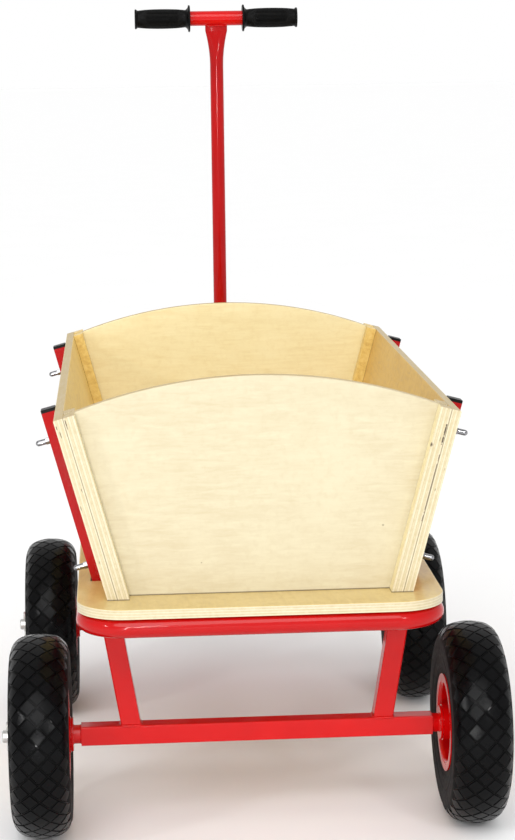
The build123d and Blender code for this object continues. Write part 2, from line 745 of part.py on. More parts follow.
save("pivot_plate", pivot_plate())
save("kingpin", kingpin())
save("kingpin_nut", kingpin_nut())
save("thrust_washer", thrust_washer())
save("steering_plate", steering_plate())
save("front_legs", *both_sides(front_leg()))

for axle_name, axle_y in {"rear": REAR_Y, "front": FRONT_Y}.items():
    save_axle(axle_name, axle_y)
    for side_name, side_sign in SIDES.items():
        save_wheel(f"{axle_name}_{side_name}", side_sign, axle_y)

UPRIGHT = Pos(0, HINGE_Y, HINGE_Z) * Rot(DRAWBAR_LEAN, 0, 0)
RIGHT_GRIP, LEFT_GRIP = both_sides(grip())
save("drawbar_strut", drawbar_strut())
save("drawbar_bracket", drawbar_bracket())
save("hinge_bolt", hinge_bolt())
save("hinge_nut", hinge_nut())
save("drawbar_pole", UPRIGHT * drawbar_pole())
save("drawbar_crossbar", UPRIGHT * crossbar())
save("left_grip", UPRIGHT * LEFT_GRIP)
save("right_grip", UPRIGHT * RIGHT_GRIP)
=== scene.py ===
"""Dresses the plywood hand wagon's CAD model.

It adds the camera, the studio, procedural materials, and the pieces that the solids leave plain:
treaded tyres, ribbed grips, rim bolts, valve caps and weld beads.
"""
import json
from dataclasses import dataclass
from math import asin, cos, hypot, pi, radians, sin, sqrt
from random import Random

import bmesh
import bpy
from mathutils import Matrix, Vector


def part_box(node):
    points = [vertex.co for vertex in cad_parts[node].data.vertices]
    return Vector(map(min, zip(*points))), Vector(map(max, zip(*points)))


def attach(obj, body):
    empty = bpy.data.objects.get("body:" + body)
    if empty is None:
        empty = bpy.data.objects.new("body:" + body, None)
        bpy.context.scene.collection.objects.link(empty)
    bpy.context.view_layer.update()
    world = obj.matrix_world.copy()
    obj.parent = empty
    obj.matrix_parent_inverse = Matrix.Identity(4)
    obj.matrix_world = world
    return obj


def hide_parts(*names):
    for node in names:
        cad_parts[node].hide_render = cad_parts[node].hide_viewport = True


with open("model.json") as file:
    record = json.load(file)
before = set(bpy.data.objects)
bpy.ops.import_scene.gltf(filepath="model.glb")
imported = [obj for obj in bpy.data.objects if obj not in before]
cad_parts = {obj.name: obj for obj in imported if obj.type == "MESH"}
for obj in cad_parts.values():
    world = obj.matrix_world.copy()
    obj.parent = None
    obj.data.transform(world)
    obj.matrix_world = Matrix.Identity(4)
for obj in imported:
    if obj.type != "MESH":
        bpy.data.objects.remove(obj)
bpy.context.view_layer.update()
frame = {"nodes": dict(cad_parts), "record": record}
nodes = frame["nodes"]


def add_object(name, data):
    """Object in the scene that shows a camera, a light or a mesh."""
    made = bpy.data.objects.new(name, data)
    bpy.context.scene.collection.objects.link(made)
    return made


# Camera, fitted to the photograph

CAMERA_PLACE = (-0.16508, -3.06346, 0.98911)
CAMERA_YAW = 3.60
CAMERA_PITCH = -9.54
CAMERA_ROLL = 0.82
CAMERA_LENS = 94.36
SENSOR_W = 36


def make_camera():
    """Camera at the photograph's viewing angle."""
    yaw, pitch, roll = (radians(a) for a in (CAMERA_YAW, CAMERA_PITCH, CAMERA_ROLL))
    ahead = Vector((sin(yaw) * cos(pitch), cos(yaw) * cos(pitch), sin(pitch)))
    level = Vector((cos(yaw), -sin(yaw), 0))
    above = level.cross(ahead)
    right = level * cos(roll) - above * sin(roll)
    up = level * sin(roll) + above * cos(roll)
    data = bpy.data.cameras.new("camera")
    data.lens = CAMERA_LENS
    data.sensor_width = SENSOR_W
    camera = add_object("camera", data)
    camera.matrix_world = Matrix((
        (right.x, up.x, -ahead.x, CAMERA_PLACE[0]),
        (right.y, up.y, -ahead.y, CAMERA_PLACE[1]),
        (right.z, up.z, -ahead.z, CAMERA_PLACE[2]),
        (0, 0, 0, 1),
    ))
    bpy.context.scene.camera = camera


# Node helpers

# The range that noise fills, and its middle
NOISE_LOW, NOISE_MIDDLE, NOISE_HIGH = 0.3, 0.5, 0.7
# Colour sockets of a Mix node, which share their names with its other sockets
MIX_FIRST, MIX_SECOND, MIX_RESULT = 6, 7, 2


class Tree:
    """Short way to add and link shader nodes."""

    def __init__(self, tree):
        self.tree = tree
        tree.nodes.clear()

    def add(self, kind, *inputs, out=0, **props):
        node = self.tree.nodes.new(kind)
        for key, value in props.items():
            setattr(node, key, value)
        for socket, value in zip(node.inputs, inputs):
            self.put(socket, value)
        return node.outputs[out]

    def put(self, socket, value):
        if isinstance(value, bpy.types.NodeSocket):
            self.tree.links.new(value, socket)
        else:
            socket.default_value = value

    def math(self, operation, *inputs):
        return self.add("ShaderNodeMath", *inputs, operation=operation)

    def times(self, first, second):
        return self.math("MULTIPLY", first, second)

    def minus(self, first, second):
        return self.math("SUBTRACT", first, second)

    def absolute(self, value):
        return self.math("ABSOLUTE", value)

    def vector(self, operation, *inputs, out="Vector"):
        return self.add("ShaderNodeVectorMath", *inputs, operation=operation, out=out)

    def dot(self, first, second):
        return self.vector("DOT_PRODUCT", first, second, out="Value")

    def axis(self, letter, vector):
        return self.add("ShaderNodeSeparateXYZ", vector, out=letter)

    def noise(self, where, scale, detail=2.0, rough=0.5, distort=0.0):
        node = self.tree.nodes.new("ShaderNodeTexNoise")
        self.put(node.inputs["Vector"], where)
        node.inputs["Scale"].default_value = scale
        node.inputs["Detail"].default_value = detail
        node.inputs["Roughness"].default_value = rough
        node.inputs["Distortion"].default_value = distort
        return node.outputs["Fac"]

    def ramp(self, factor, *stops):
        node = self.tree.nodes.new("ShaderNodeValToRGB")
        self.put(node.inputs[0], factor)
        band = node.color_ramp
        while len(band.elements) < len(stops):
            band.elements.new(1.0)
        for element, (place, value) in zip(band.elements, stops):
            element.position = place
            element.color = (*value, 1) if isinstance(value, tuple) else (value, value, value, 1)
        return node.outputs[0]

    def spread(self, noise, first, second):
        """From the first value or colour to the second over the range that noise fills."""
        return self.ramp(noise, (NOISE_LOW, first), (NOISE_HIGH, second))

    def mix(self, factor, first, second):
        node = self.tree.nodes.new("ShaderNodeMix")
        node.data_type = "RGBA"
        self.put(node.inputs[0], factor)
        for index, value in ((MIX_FIRST, first), (MIX_SECOND, second)):
            self.put(node.inputs[index], (*value, 1) if isinstance(value, tuple) else value)
        return node.outputs[MIX_RESULT]

    def bump(self, height, strength, distance):
        node = self.tree.nodes.new("ShaderNodeBump")
        node.inputs["Strength"].default_value = strength
        node.inputs["Distance"].default_value = distance
        self.put(node.inputs["Height"], height)
        return node.outputs[0]


def material(name):
    """New Principled material: itself, its tree, the shader's inputs and object coordinates."""
    made = bpy.data.materials.new(name)
    made.use_nodes = True
    tree = Tree(made.node_tree)
    shader = made.node_tree.nodes.new("ShaderNodeBsdfPrincipled")
    output = made.node_tree.nodes.new("ShaderNodeOutputMaterial")
    made.node_tree.links.new(shader.outputs[0], output.inputs[0])
    where = tree.add("ShaderNodeTexCoord", out="Object")
    return made, tree, shader.inputs, where


def linear(red, green, blue):
    """Scene-linear colour of an 8-bit screen colour."""

    def one(value):
        value /= 255
        return value / 12.92 if value <= 0.04045 else ((value + 0.055) / 1.055) ** 2.4

    return one(red), one(green), one(blue)


def grey(value):
    """Scene-linear grey of an 8-bit screen value."""
    return linear(value, value, value)


def scaled(colour, factor):
    """Colour or vector times a factor."""
    return tuple(value * factor for value in colour)


# Paint, steel, plastic, rubber and floor


def paint_material(name, dark, light, speck, lacquer):
    """Glossy red paint with a fine orange peel and slow changes of tone."""
    made, tree, shader, where = material(name)
    tone = tree.spread(tree.noise(where, scale=14, detail=3), dark, light)
    specks = tree.ramp(tree.noise(where, scale=420), (0.70, 0.0), (0.76, 1.0))
    tree.put(shader["Base Color"], tree.mix(specks, tone, speck))
    tree.put(shader["Roughness"], tree.spread(tree.noise(where, scale=40, detail=4), 0.18, 0.27))
    shader["Specular IOR Level"].default_value = 0.04
    shader["Coat Weight"].default_value = lacquer
    shader["Coat Roughness"].default_value = 0.07
    peel = tree.noise(where, scale=700)
    tree.put(shader["Normal"], tree.bump(peel, strength=0.06, distance=0.0006))
    return made


SCRATCH_SCALES = (40, 900, 900)
SCRATCH_SHADE = 0.82


def steel_material(name, tone, rough, scratch):
    """Plated steel with fine scratches."""
    made, tree, shader, where = material(name)
    lines = tree.noise(tree.vector("MULTIPLY", where, SCRATCH_SCALES), scale=1.0, detail=3)
    tree.put(shader["Base Color"], tree.spread(lines, scaled(tone, SCRATCH_SHADE), tone))
    haze = tree.noise(where, scale=120, detail=3)
    tree.put(shader["Roughness"], tree.spread(haze, rough, rough + scratch))
    shader["Metallic"].default_value = 1.0
    tree.put(shader["Normal"], tree.bump(lines, strength=0.05, distance=0.0003))
    return made


PLASTIC_HAZE = 0.15


def plastic_material(name, dark, light, rough, gloss):
    """Moulded plastic with a fine eroded grain."""
    made, tree, shader, where = material(name)
    tree.put(shader["Base Color"], tree.spread(tree.noise(where, scale=90, detail=4), dark, light))
    haze = tree.noise(where, scale=260, detail=3)
    tree.put(shader["Roughness"], tree.spread(haze, rough, rough + PLASTIC_HAZE))
    shader["Specular IOR Level"].default_value = gloss
    grain = tree.noise(where, scale=1600)
    tree.put(shader["Normal"], tree.bump(grain, strength=0.18, distance=0.0004))
    return made


def tyre_material():
    """Black rubber: smooth on the tread's blocks, with painted shade in the grooves, and a lighter
    grey on the sidewalls that is partly the rubber's own tone and partly a painted sheen.
    """
    made, tree, shader, where = material("tyre_rubber")
    tread = tree.add("ShaderNodeAttribute", attribute_name="tread", out="Fac")
    top = tree.math("MAXIMUM", tread, 0.0)
    side = tree.math("MAXIMUM", tree.times(tread, -1.0), 0.0)
    cloud = tree.noise(where, scale=30, detail=5, rough=0.6)
    block = tree.spread(cloud, linear(5, 5, 6), linear(11, 11, 12))
    # Painted shade: the grooves are a darker tone than the blocks
    groove = tree.spread(cloud, grey(3), grey(6))
    # Lighter grey on the sidewalls: partly the rubber's own tone, partly a painted sheen
    wall = tree.spread(cloud, linear(25, 25, 26), linear(34, 34, 35))
    tree.put(shader["Base Color"], tree.mix(side, tree.mix(top, groove, block), wall))
    wear = tree.noise(where, scale=150, detail=3)
    matt, smooth = tree.spread(wear, 0.58, 0.74), tree.spread(wear, 0.11, 0.23)
    tree.put(shader["Roughness"], tree.mix(top, matt, smooth))
    shader["Specular IOR Level"].default_value = 0.09
    grain = tree.noise(where, scale=1300, detail=3)
    tree.put(shader["Normal"], tree.bump(grain, strength=0.2, distance=0.0005))
    return made


def ridge_material():
    """Skin of the ridges in the grooves, still as shiny as it left the mould."""
    made, tree, shader, where = material("ridge_rubber")
    cloud = tree.noise(where, scale=90, detail=4)
    tree.put(shader["Base Color"], tree.spread(cloud, grey(2), grey(4)))
    tree.put(shader["Roughness"], tree.spread(tree.noise(where, scale=260, detail=3), 0.05, 0.11))
    shader["Specular IOR Level"].default_value = 0.17
    return made


def floor_material():
    """Plain pale studio floor with the faintest mottling."""
    made, tree, shader, where = material("studio_floor")
    tree.put(shader["Base Color"], tree.spread(tree.noise(where, scale=3, detail=3), 0.97, 0.98))
    shader["Roughness"].default_value = 0.8
    return made


PAINT = paint_material(
    "red_paint", linear(190, 5, 7), linear(202, 8, 9), speck=linear(166, 5, 7), lacquer=0.5
)
# Painted shade: a darker copy of the red paint for the frame ring
RING_SHADED_PAINT = paint_material(
    "red_paint_ring_shaded", linear(169, 4, 6), linear(181, 6, 7), speck=linear(146, 4, 6), lacquer=0.5
)
# Painted shade: a darker copy of the red paint for the drawbar pole and the stakes
SHADED_PAINT = paint_material(
    "red_paint_shaded", linear(160, 3, 4), linear(174, 5, 6), speck=linear(136, 3, 4), lacquer=0.3
)
ZINC = steel_material("zinc_steel", (0.66, 0.66, 0.64), rough=0.26, scratch=0.2)
CHROME = steel_material("chrome", (0.32, 0.32, 0.33), rough=0.10, scratch=0.08)
BEARING = steel_material("bearing_steel", (0.58, 0.58, 0.59), rough=0.2, scratch=0.15)
BLACK = plastic_material("black_plastic", grey(8), grey(14), rough=0.28, gloss=0.12)
GRIP = plastic_material("grip_rubber", grey(6), grey(11), rough=0.26, gloss=0.08)
NYLON = plastic_material(
    "white_nylon", linear(214, 212, 204), linear(232, 230, 224), rough=0.4, gloss=0.4
)
BUTYL = plastic_material("butyl_rubber", grey(18), grey(30), rough=0.5, gloss=0.2)
RUBBER = tyre_material()
RIDGE_RUBBER = ridge_material()

# Plywood

# Metres to the units in which ramps measure thin lines
MILLIMETRES = 1000.0
CENTIMETRES = 100.0

# Colours of a ply edge, and of the lines and marks on it
PALE_PLY = linear(200, 187, 154), linear(215, 204, 175)
BROWN_PLY = linear(172, 154, 108), linear(198, 184, 142)
TOP_EDGE_SHADE = linear(186, 160, 98)
GLUE = linear(116, 90, 52)
# Painted shade: a darker tan on the ply edges that face up
PLY_GAP = linear(66, 48, 28)
SEAM_LINE = linear(70, 56, 34)
SLIT_DARK = linear(62, 46, 28)
# Painted shadow: a dark line along a piece's lower edge, where it stands on the floor
FOOT_SHADOW = linear(74, 58, 34)
MARK_BROWN = linear(58, 42, 24)

# Brown in the odd layers, the part of a layer that glue lines and gaps take, the gaps' noise
ODD_SHARE = 0.5
GLUE_SHARE = 0.14
GAP_SHARE = 0.45
GAP_SCALE = 40.0
GAP_STEP = 7.3

# A surface is an edge where its normal has less than this along the board's thickness
EDGE_FACING = 0.6

# Noise shift per seed, pores and flame lines of the veneer, reach and noise of the slits
SEED_STEPS = (3.1, 1.7, 2.3)
PORE_SHADE = 0.6
FLAME_STRETCH = 0.05
FLAME_LINES = 12.0
SLIT_REACH = 0.002
SLIT_SCALE = 160.0
SLIT_SEED = 90


def tones(*colours):
    """Scene-linear veneer tones, dark to light."""
    return tuple(linear(*colour) for colour in colours)


CREAM = tones((192, 179, 147), (198, 187, 157), (204, 195, 166))
STRAW = tones((229, 212, 161), (236, 222, 174), (240, 228, 183))
HONEY = tones((213, 178, 100), (230, 199, 117), (238, 211, 135))
AMBER = tones((199, 157, 86), (217, 178, 99), (225, 190, 115))
OAT = tones((194, 166, 102), (207, 181, 116), (216, 193, 132))


@dataclass
class Board:
    """Where one plywood piece's layers lie and how its veneer looks.

    far_tones colour the battens in the front half, except their front ends. seam is the depth of
    the glue line to the next board, and foot asks for a painted shadow: a dark line along the
    lower edge. Marks have a place, radius and strength, and slits a start, length, half width and
    strength.
    """

    thick: tuple
    depth: float
    grain: tuple
    plies: int
    tones: tuple
    seed: int
    far_tones: tuple = ()
    seam: float = None
    foot: bool = False
    gloss: float = 0.12
    flame: float = 0.4
    marks: tuple = ()
    slits: tuple = ()


def fibres(tree, streaks, shades):
    """Three tones along the fibres."""
    dark, middle, light = shades
    return tree.ramp(streaks, (NOISE_LOW, dark), (NOISE_MIDDLE, middle), (NOISE_HIGH, light))


def veneer(tree, board, shifted, streaks, pores):
    """Colour of a plywood face: fine fibres, faint flame lines, soft clouds, flecks and pores."""
    dark, _, light = board.tones
    face = fibres(tree, streaks, board.tones)
    slow = tree.vector("MULTIPLY", shifted, scaled(board.grain, FLAME_STRETCH))
    slow = tree.noise(slow, scale=1.0, distort=0.8)
    ring = tree.math("PINGPONG", tree.times(slow, FLAME_LINES), 0.5)
    flame = tree.ramp(ring, (0.0, board.flame), (0.12, board.flame * 0.3), (0.3, 0.0))
    face = tree.mix(flame, face, dark)
    clouds = tree.noise(shifted, scale=9.0, detail=5, rough=0.7)
    face = tree.mix(tree.ramp(clouds, (0.42, 0.0), (0.66, 0.7)), face, light)
    flecks = tree.noise(shifted, scale=110, detail=3, rough=0.6)
    face = tree.mix(tree.ramp(flecks, (0.50, 0.0), (0.72, 0.5)), face, dark)
    pitted = tree.ramp(pores, (0.64, 0.0), (0.80, 0.22))
    return tree.mix(pitted, face, scaled(dark, PORE_SHADE))


def ply_edge(tree, board, shifted, depth_in, normal):
    """Colour of a plywood edge: alternating layers with patchy glue lines, a few dark gaps, and
    painted shade where it faces up.
    """
    layer = tree.times(depth_in, board.plies / board.depth)
    part = tree.math("FRACT", layer)
    sheet = tree.math("FLOOR", layer)
    odd = tree.math("MODULO", sheet, 2.0)
    wobble = tree.noise(shifted, scale=160, detail=4, rough=0.65)
    pale, brown = tree.spread(wobble, *PALE_PLY), tree.spread(wobble, *BROWN_PLY)
    edge = tree.mix(tree.times(odd, ODD_SHARE), pale, brown)
    glue = tree.math("LESS_THAN", part, GLUE_SHARE)
    patchy = tree.ramp(wobble, (0.35, 0.05), (0.62, 0.55))
    edge = tree.mix(tree.times(glue, patchy), edge, GLUE)
    lane = tree.add(
        "ShaderNodeCombineXYZ",
        tree.times(sheet, GAP_STEP),
        tree.times(tree.axis("Y", shifted), GAP_SCALE),
        tree.times(tree.axis("Z", shifted), GAP_SCALE),
    )
    gap = tree.ramp(tree.noise(lane, scale=1.0, detail=3), (0.68, 0.0), (0.72, 0.9))
    gap = tree.times(gap, tree.math("LESS_THAN", part, GAP_SHARE))
    edge = tree.mix(gap, edge, PLY_GAP)
    # Painted shade: the faces of an edge that point up turn darker tan
    upward_shade = tree.ramp(tree.axis("Z", normal), (0.75, 0.0), (0.9, 0.85))
    return tree.mix(upward_shade, edge, TOP_EDGE_SHADE)


def slit_mask(tree, board, where, start, length, width, strength):
    """Where a ragged slit runs down the end of a right-hand board, between two of its layers."""
    offset = tree.vector("SUBTRACT", where, start)
    down = Vector((0, 1, 0)).cross(Vector(board.thick))
    run = tree.dot(offset, tuple(down))
    aside = tree.absolute(tree.dot(offset, board.thick))
    reach = tree.absolute(tree.axis("Y", offset))
    lane = tree.add("ShaderNodeCombineXYZ", tree.times(run, SLIT_SCALE), length * SLIT_SEED, 0.0)
    lane = tree.noise(lane, scale=1.0, detail=3)
    ragged = tree.ramp(lane, (0.34, 0.0), (0.46, width * MILLIMETRES))
    mask = tree.math("LESS_THAN", tree.times(aside, MILLIMETRES), ragged)
    for inside in (run, tree.minus(length, run), tree.minus(SLIT_REACH, reach)):
        mask = tree.times(mask, tree.math("GREATER_THAN", inside, 0.0))
    return tree.times(mask, strength)


def plywood_material(name, board, start, low):
    """Lacquered plywood: veneered faces, and layered edges along the thickness."""
    made, tree, shader, where = material(name)
    normal = tree.add("ShaderNodeTexCoord", out="Normal")
    shifted = tree.vector("ADD", where, scaled(SEED_STEPS, board.seed))
    stretched = tree.vector("MULTIPLY", shifted, board.grain)
    streaks = tree.noise(stretched, scale=1.0, detail=6, rough=0.62, distort=0.5)
    pores = tree.noise(stretched, scale=3.2, detail=3, rough=0.7)
    depth_in = tree.minus(tree.dot(where, board.thick), start)
    is_edge = tree.math("LESS_THAN", tree.absolute(tree.dot(normal, board.thick)), EDGE_FACING)
    face = veneer(tree, board, shifted, streaks, pores)
    colour = tree.mix(is_edge, face, ply_edge(tree, board, shifted, depth_in, normal))
    if board.far_tones:
        far = tree.math("GREATER_THAN", tree.axis("Y", where), 0.0)
        far = tree.times(far, tree.math("LESS_THAN", tree.axis("Y", normal), 0.5))
        colour = tree.mix(far, colour, fibres(tree, streaks, board.far_tones))
    if board.seam is not None:
        near = tree.times(tree.absolute(tree.minus(depth_in, board.seam)), MILLIMETRES)
        line = tree.ramp(near, (0.35, 0.6), (0.75, 0.0))
        colour = tree.mix(tree.times(line, is_edge), colour, SEAM_LINE)
    for slit in board.slits:
        colour = tree.mix(slit_mask(tree, board, where, *slit), colour, SLIT_DARK)
    # Painted shadow: a dark line along the lower edge
    if board.foot:
        rise = tree.times(tree.minus(tree.axis("Z", where), low), CENTIMETRES)
        colour = tree.mix(tree.ramp(rise, (0.06, 0.85), (0.18, 0.0)), colour, FOOT_SHADOW)
    for place, radius, strength in board.marks:
        away = tree.math("DIVIDE", tree.vector("DISTANCE", where, place, out="Value"), radius)
        colour = tree.mix(tree.ramp(away, (0.5, strength), (1.0, 0.0)), colour, MARK_BROWN)
    tree.put(shader["Base Color"], colour)
    tree.put(shader["Roughness"], tree.spread(streaks, 0.34, 0.48))
    shader["Specular IOR Level"].default_value = 0.35
    shader["Coat Weight"].default_value = board.gloss
    shader["Coat Roughness"].default_value = 0.14
    height = tree.math("ADD", tree.times(streaks, 0.5), tree.times(pores, -0.5))
    tree.put(shader["Normal"], tree.bump(height, strength=0.10, distance=0.0008))
    return made


LEAN = radians(15)
UP, AHEAD = (0, 0, 1), (0, 1, 0)
RIGHT_OUT = (cos(LEAN), 0, -sin(LEAN))
LEFT_OUT = (-cos(LEAN), 0, -sin(LEAN))

# Scales of the fibre noise on each axis
ALONG_X = (26.0, 170.0, 170.0)
ALONG_Y = (170.0, 26.0, 170.0)

SHEET_T = 0.012
BATTEN_T = 0.014
PANEL_PLIES = 7
SIDE_PLIES = 5
PANEL_MARKS = (
    ((0.1524, -0.4383, 0.4127), 0.0018, 0.45),
    ((-0.071, -0.4383, 0.372), 0.0012, 0.4),
)
KNOT = ((0.2086, -0.4590, 0.5155), 0.0036, 0.95)
RIGHT_SLITS = (
    ((0.2280, -0.4608, 0.5400), 0.026, 0.0009, 0.92),
    ((0.2190, -0.4608, 0.5030), 0.085, 0.0006, 0.7),
)
SIDE_LOOK = {"seam": 0.0, "foot": True}
BATTEN_LOOK = {"seam": BATTEN_T, "foot": True, "far_tones": HONEY}
PLYWOOD = {
    "floor_board": Board(UP, SHEET_T, ALONG_Y, PANEL_PLIES, OAT, 1, gloss=0.4),
    "rear_panel": Board(
        AHEAD, SHEET_T, ALONG_X, PANEL_PLIES, CREAM, 2, foot=True, flame=0.15, marks=PANEL_MARKS
    ),
    "front_panel": Board(AHEAD, SHEET_T, ALONG_X, PANEL_PLIES, STRAW, 3, foot=True, flame=0.5),
    "left_side_board": Board(LEFT_OUT, SHEET_T, ALONG_Y, SIDE_PLIES, HONEY, 4, **SIDE_LOOK),
    "right_side_board": Board(RIGHT_OUT, SHEET_T, ALONG_Y, SIDE_PLIES, AMBER, 5, **SIDE_LOOK),
    "left_battens": Board(LEFT_OUT, BATTEN_T, ALONG_Y, SIDE_PLIES, STRAW, 6, **BATTEN_LOOK),
    "right_battens": Board(
        RIGHT_OUT, BATTEN_T, ALONG_Y, SIDE_PLIES, STRAW, 7,
        marks=(KNOT,), slits=RIGHT_SLITS, **BATTEN_LOOK,
    ),
}


def plywood_for(name):
    """Plywood whose layers start at the node's own face."""
    board = PLYWOOD[name]
    points = [v.co for v in nodes[name].data.vertices]
    start = min(Vector(board.thick).dot(p) for p in points)
    return plywood_material(f"plywood_{name}", board, start, min(p.z for p in points))


# The pole, the stakes and the ring take darker copies of the red paint, which are painted shade
NODE_MATERIALS = {
    "drawbar_pole": SHADED_PAINT,
    "left_stakes": SHADED_PAINT,
    "right_stakes": SHADED_PAINT,
    "frame_ring": RING_SHADED_PAINT,
}
SLOT_MATERIALS = {
    "red_paint": PAINT,
    "zinc_steel": ZINC,
    "chrome": CHROME,
    "bearing_steel": BEARING,
    "black_plastic": BLACK,
    "white_plastic": NYLON,
    "tyre": RUBBER,
    "inner_tube_rubber": BUTYL,
}


def dress_nodes():
    """Gives every CAD node its procedural material."""
    slots = {row["node"]: row["material_slot"] for row in frame["record"]["subparts"]}
    for name, node in nodes.items():
        if name in PLYWOOD:
            look = plywood_for(name)
        else:
            look = NODE_MATERIALS.get(name) or SLOT_MATERIALS[slots[name]]
        node.data.materials.clear()
        node.data.materials.append(look)


# Mesh helpers


def new_piece(name, verts, faces, look, smooth_angle):
    """Mesh object with smooth faces and sharp edges above an angle in degrees."""
    mesh = bpy.data.meshes.new(name)
    mesh.from_pydata([tuple(v) for v in verts], [], faces)
    mesh.update()
    shell = bmesh.new()
    shell.from_mesh(mesh)
    bmesh.ops.recalc_face_normals(shell, faces=shell.faces)
    shell.to_mesh(mesh)
    shell.free()
    mesh.shade_smooth()
    mesh.set_sharp_from_angle(angle=radians(smooth_angle))
    mesh.materials.append(look)
    return add_object(name, mesh)


def outward(sign):
    """Turns a piece made for the right side to the side that the sign gives."""
    return Matrix.Identity(4) if sign > 0 else Matrix.Rotation(pi, 4, "Z")


def circle(sides, shift=0.0):
    """Cosine and sine at even steps round a circle."""
    turns = [2 * pi * (k + shift) / sides for k in range(sides)]
    return [(cos(turn), sin(turn)) for turn in turns]


def bridge(faces, first, rings, sides, closed=False):
    """Adds the quads between neighbouring rings of points; closed joins the last to the first."""
    for ring in range(rings if closed else rings - 1):
        here, there = first + ring * sides, first + (ring + 1) % rings * sides
        for k in range(sides):
            n = (k + 1) % sides
            faces.append((here + k, here + n, there + n, there + k))


def bar_faces(faces, first, rings, sides):
    """Adds the quads of a row of rings and a face at each end."""
    bridge(faces, first, rings, sides)
    last = first + (rings - 1) * sides
    faces.append(tuple(first + k for k in reversed(range(sides))))
    faces.append(tuple(last + k for k in range(sides)))


def revolve(profile, steps):
    """Vertices and faces of a closed (x, r) profile turned about the X axis."""
    verts = [(x, r * c, r * s) for c, s in circle(steps) for x, r in profile]
    faces = []
    bridge(faces, 0, steps, len(profile), closed=True)
    return verts, faces


def arc(centre, radius, start, end, count):
    """Points (x, r) on an arc, angles measured from the radial direction towards +x."""
    turns = [start + (end - start) * k / count for k in range(count + 1)]
    return [(centre[0] + radius * sin(t), centre[1] + radius * cos(t)) for t in turns]


# Tyres: a smooth carcass with raised diamond blocks and a thin ridge along each groove

WHEEL_R = 0.130
TYRE_HALF = 0.0375
CROWN_R = 0.070
SHOULDER_R = 0.024
TREAD_T = 0.008
SIDE_T = 0.004
BEAD_OUTER = 0.033
BEAD_INNER = 0.021
BEAD_R = 0.0515
RIM_EDGE = 0.0645
FOOT_R = 0.0635
RIM_BEND = 0.004
GROOVE = 0.0022
BLOCKS_ROUND = 33
BLOCK_W = 0.024
BLOCK_ROWS = 3
BLOCK_FILL = 0.89
BLOCK_FOOT = GROOVE + 0.0004
CHAMFER = 0.0006
BLOCK_TILT = 0.00018
RIDGE_H = 0.0010
RIDGE_HALF = 0.0006
RIDGE_TOP = 0.6
RIDGE_REACH = 0.96
SIDE_RINGS = (0.0705, 0.0735, 0.0860)
SIDE_RING_H = 0.0006
SIDE_RING_HALF = 0.0011
TREAD_SEED = 11
TYRE_SPINS = {"rear_left": pi / BLOCKS_ROUND}

# Steps round the tyre, across half the tread, down the shoulder and sidewall, and inside
TYRE_STEPS = 120
TREAD_STEPS = 22
SHOULDER_STEPS = 4
SIDEWALL_STEPS = 40
INSIDE_STEPS = (3, 8, 6)
RIDGE_STEPS = 16
WHEEL_SMOOTH = 30

# The tread attribute: 1 on a block's top, little in a groove, below 0 on a sidewall
GROOVE_MARK = 0.15
SIDEWALL_MARK = -1.0


def tyre_section(half, top, crown_r, shoulder_r):
    """Centres and angles of a tyre contour's crown and shoulder arcs."""
    crown_z = top - crown_r
    shoulder_x = half - shoulder_r
    rise = sqrt((crown_r - shoulder_r) ** 2 - shoulder_x ** 2)
    turn = asin(shoulder_x / (crown_r - shoulder_r))
    return crown_z, (shoulder_x, crown_z + rise), turn


def side_arc(widest, foot, count):
    """Points on the sidewall's arc, which leaves the widest point straight towards the hub."""
    inset = widest[0] - foot[0]
    drop = widest[1] - foot[1]
    radius = (inset ** 2 + drop ** 2) / (2 * inset)
    sweep = asin(drop / radius)
    return arc((widest[0] - radius, widest[1]), radius, pi / 2, pi / 2 + sweep, count)


def inside_contour():
    """Half of the tyre's inside, from the crown's middle to the foot."""
    crown_r, shoulder_r = CROWN_R - TREAD_T, SHOULDER_R - TREAD_T
    crown_z, shoulder, turn = tyre_section(
        TYRE_HALF - SIDE_T, WHEEL_R - TREAD_T, crown_r, shoulder_r
    )
    crown_steps, shoulder_steps, side_steps = INSIDE_STEPS
    points = arc((0, crown_z), crown_r, 0, turn, crown_steps)
    points += arc(shoulder, shoulder_r, turn, pi / 2, shoulder_steps)[1:]
    return points + side_arc(points[-1], (BEAD_INNER, FOOT_R), side_steps)[1:]


CROWN_Z, SHOULDER, TURN = tyre_section(TYRE_HALF, WHEEL_R, CROWN_R, SHOULDER_R)
CROWN_RUN = CROWN_R * TURN
TREAD_RUN = BLOCK_ROWS * BLOCK_W / 2 + BLOCK_W / 2
CARCASS_RUN = TREAD_RUN * 1.02
GROOVE_FADE = BLOCK_W * 0.45


def surface(run, sink):
    """Point (x, r) along the tyre's contour from the crown's middle, sunk below it."""
    side = 1 if run >= 0 else -1
    run = abs(run)
    if run <= CROWN_RUN:
        turn, radius, centre = run / CROWN_R, CROWN_R - sink, (0, CROWN_Z)
    else:
        turn, radius, centre = TURN + (run - CROWN_RUN) / SHOULDER_R, SHOULDER_R - sink, SHOULDER
    return side * (centre[0] + radius * sin(turn)), centre[1] + radius * cos(turn)


def lifted(point):
    """Sidewall point, raised where a moulded ring runs round the tyre."""
    x, r = point
    near = min(abs(r - ring) for ring in SIDE_RINGS)
    return x + SIDE_RING_H * max(0.0, 1.0 - (near / SIDE_RING_HALF) ** 2), r


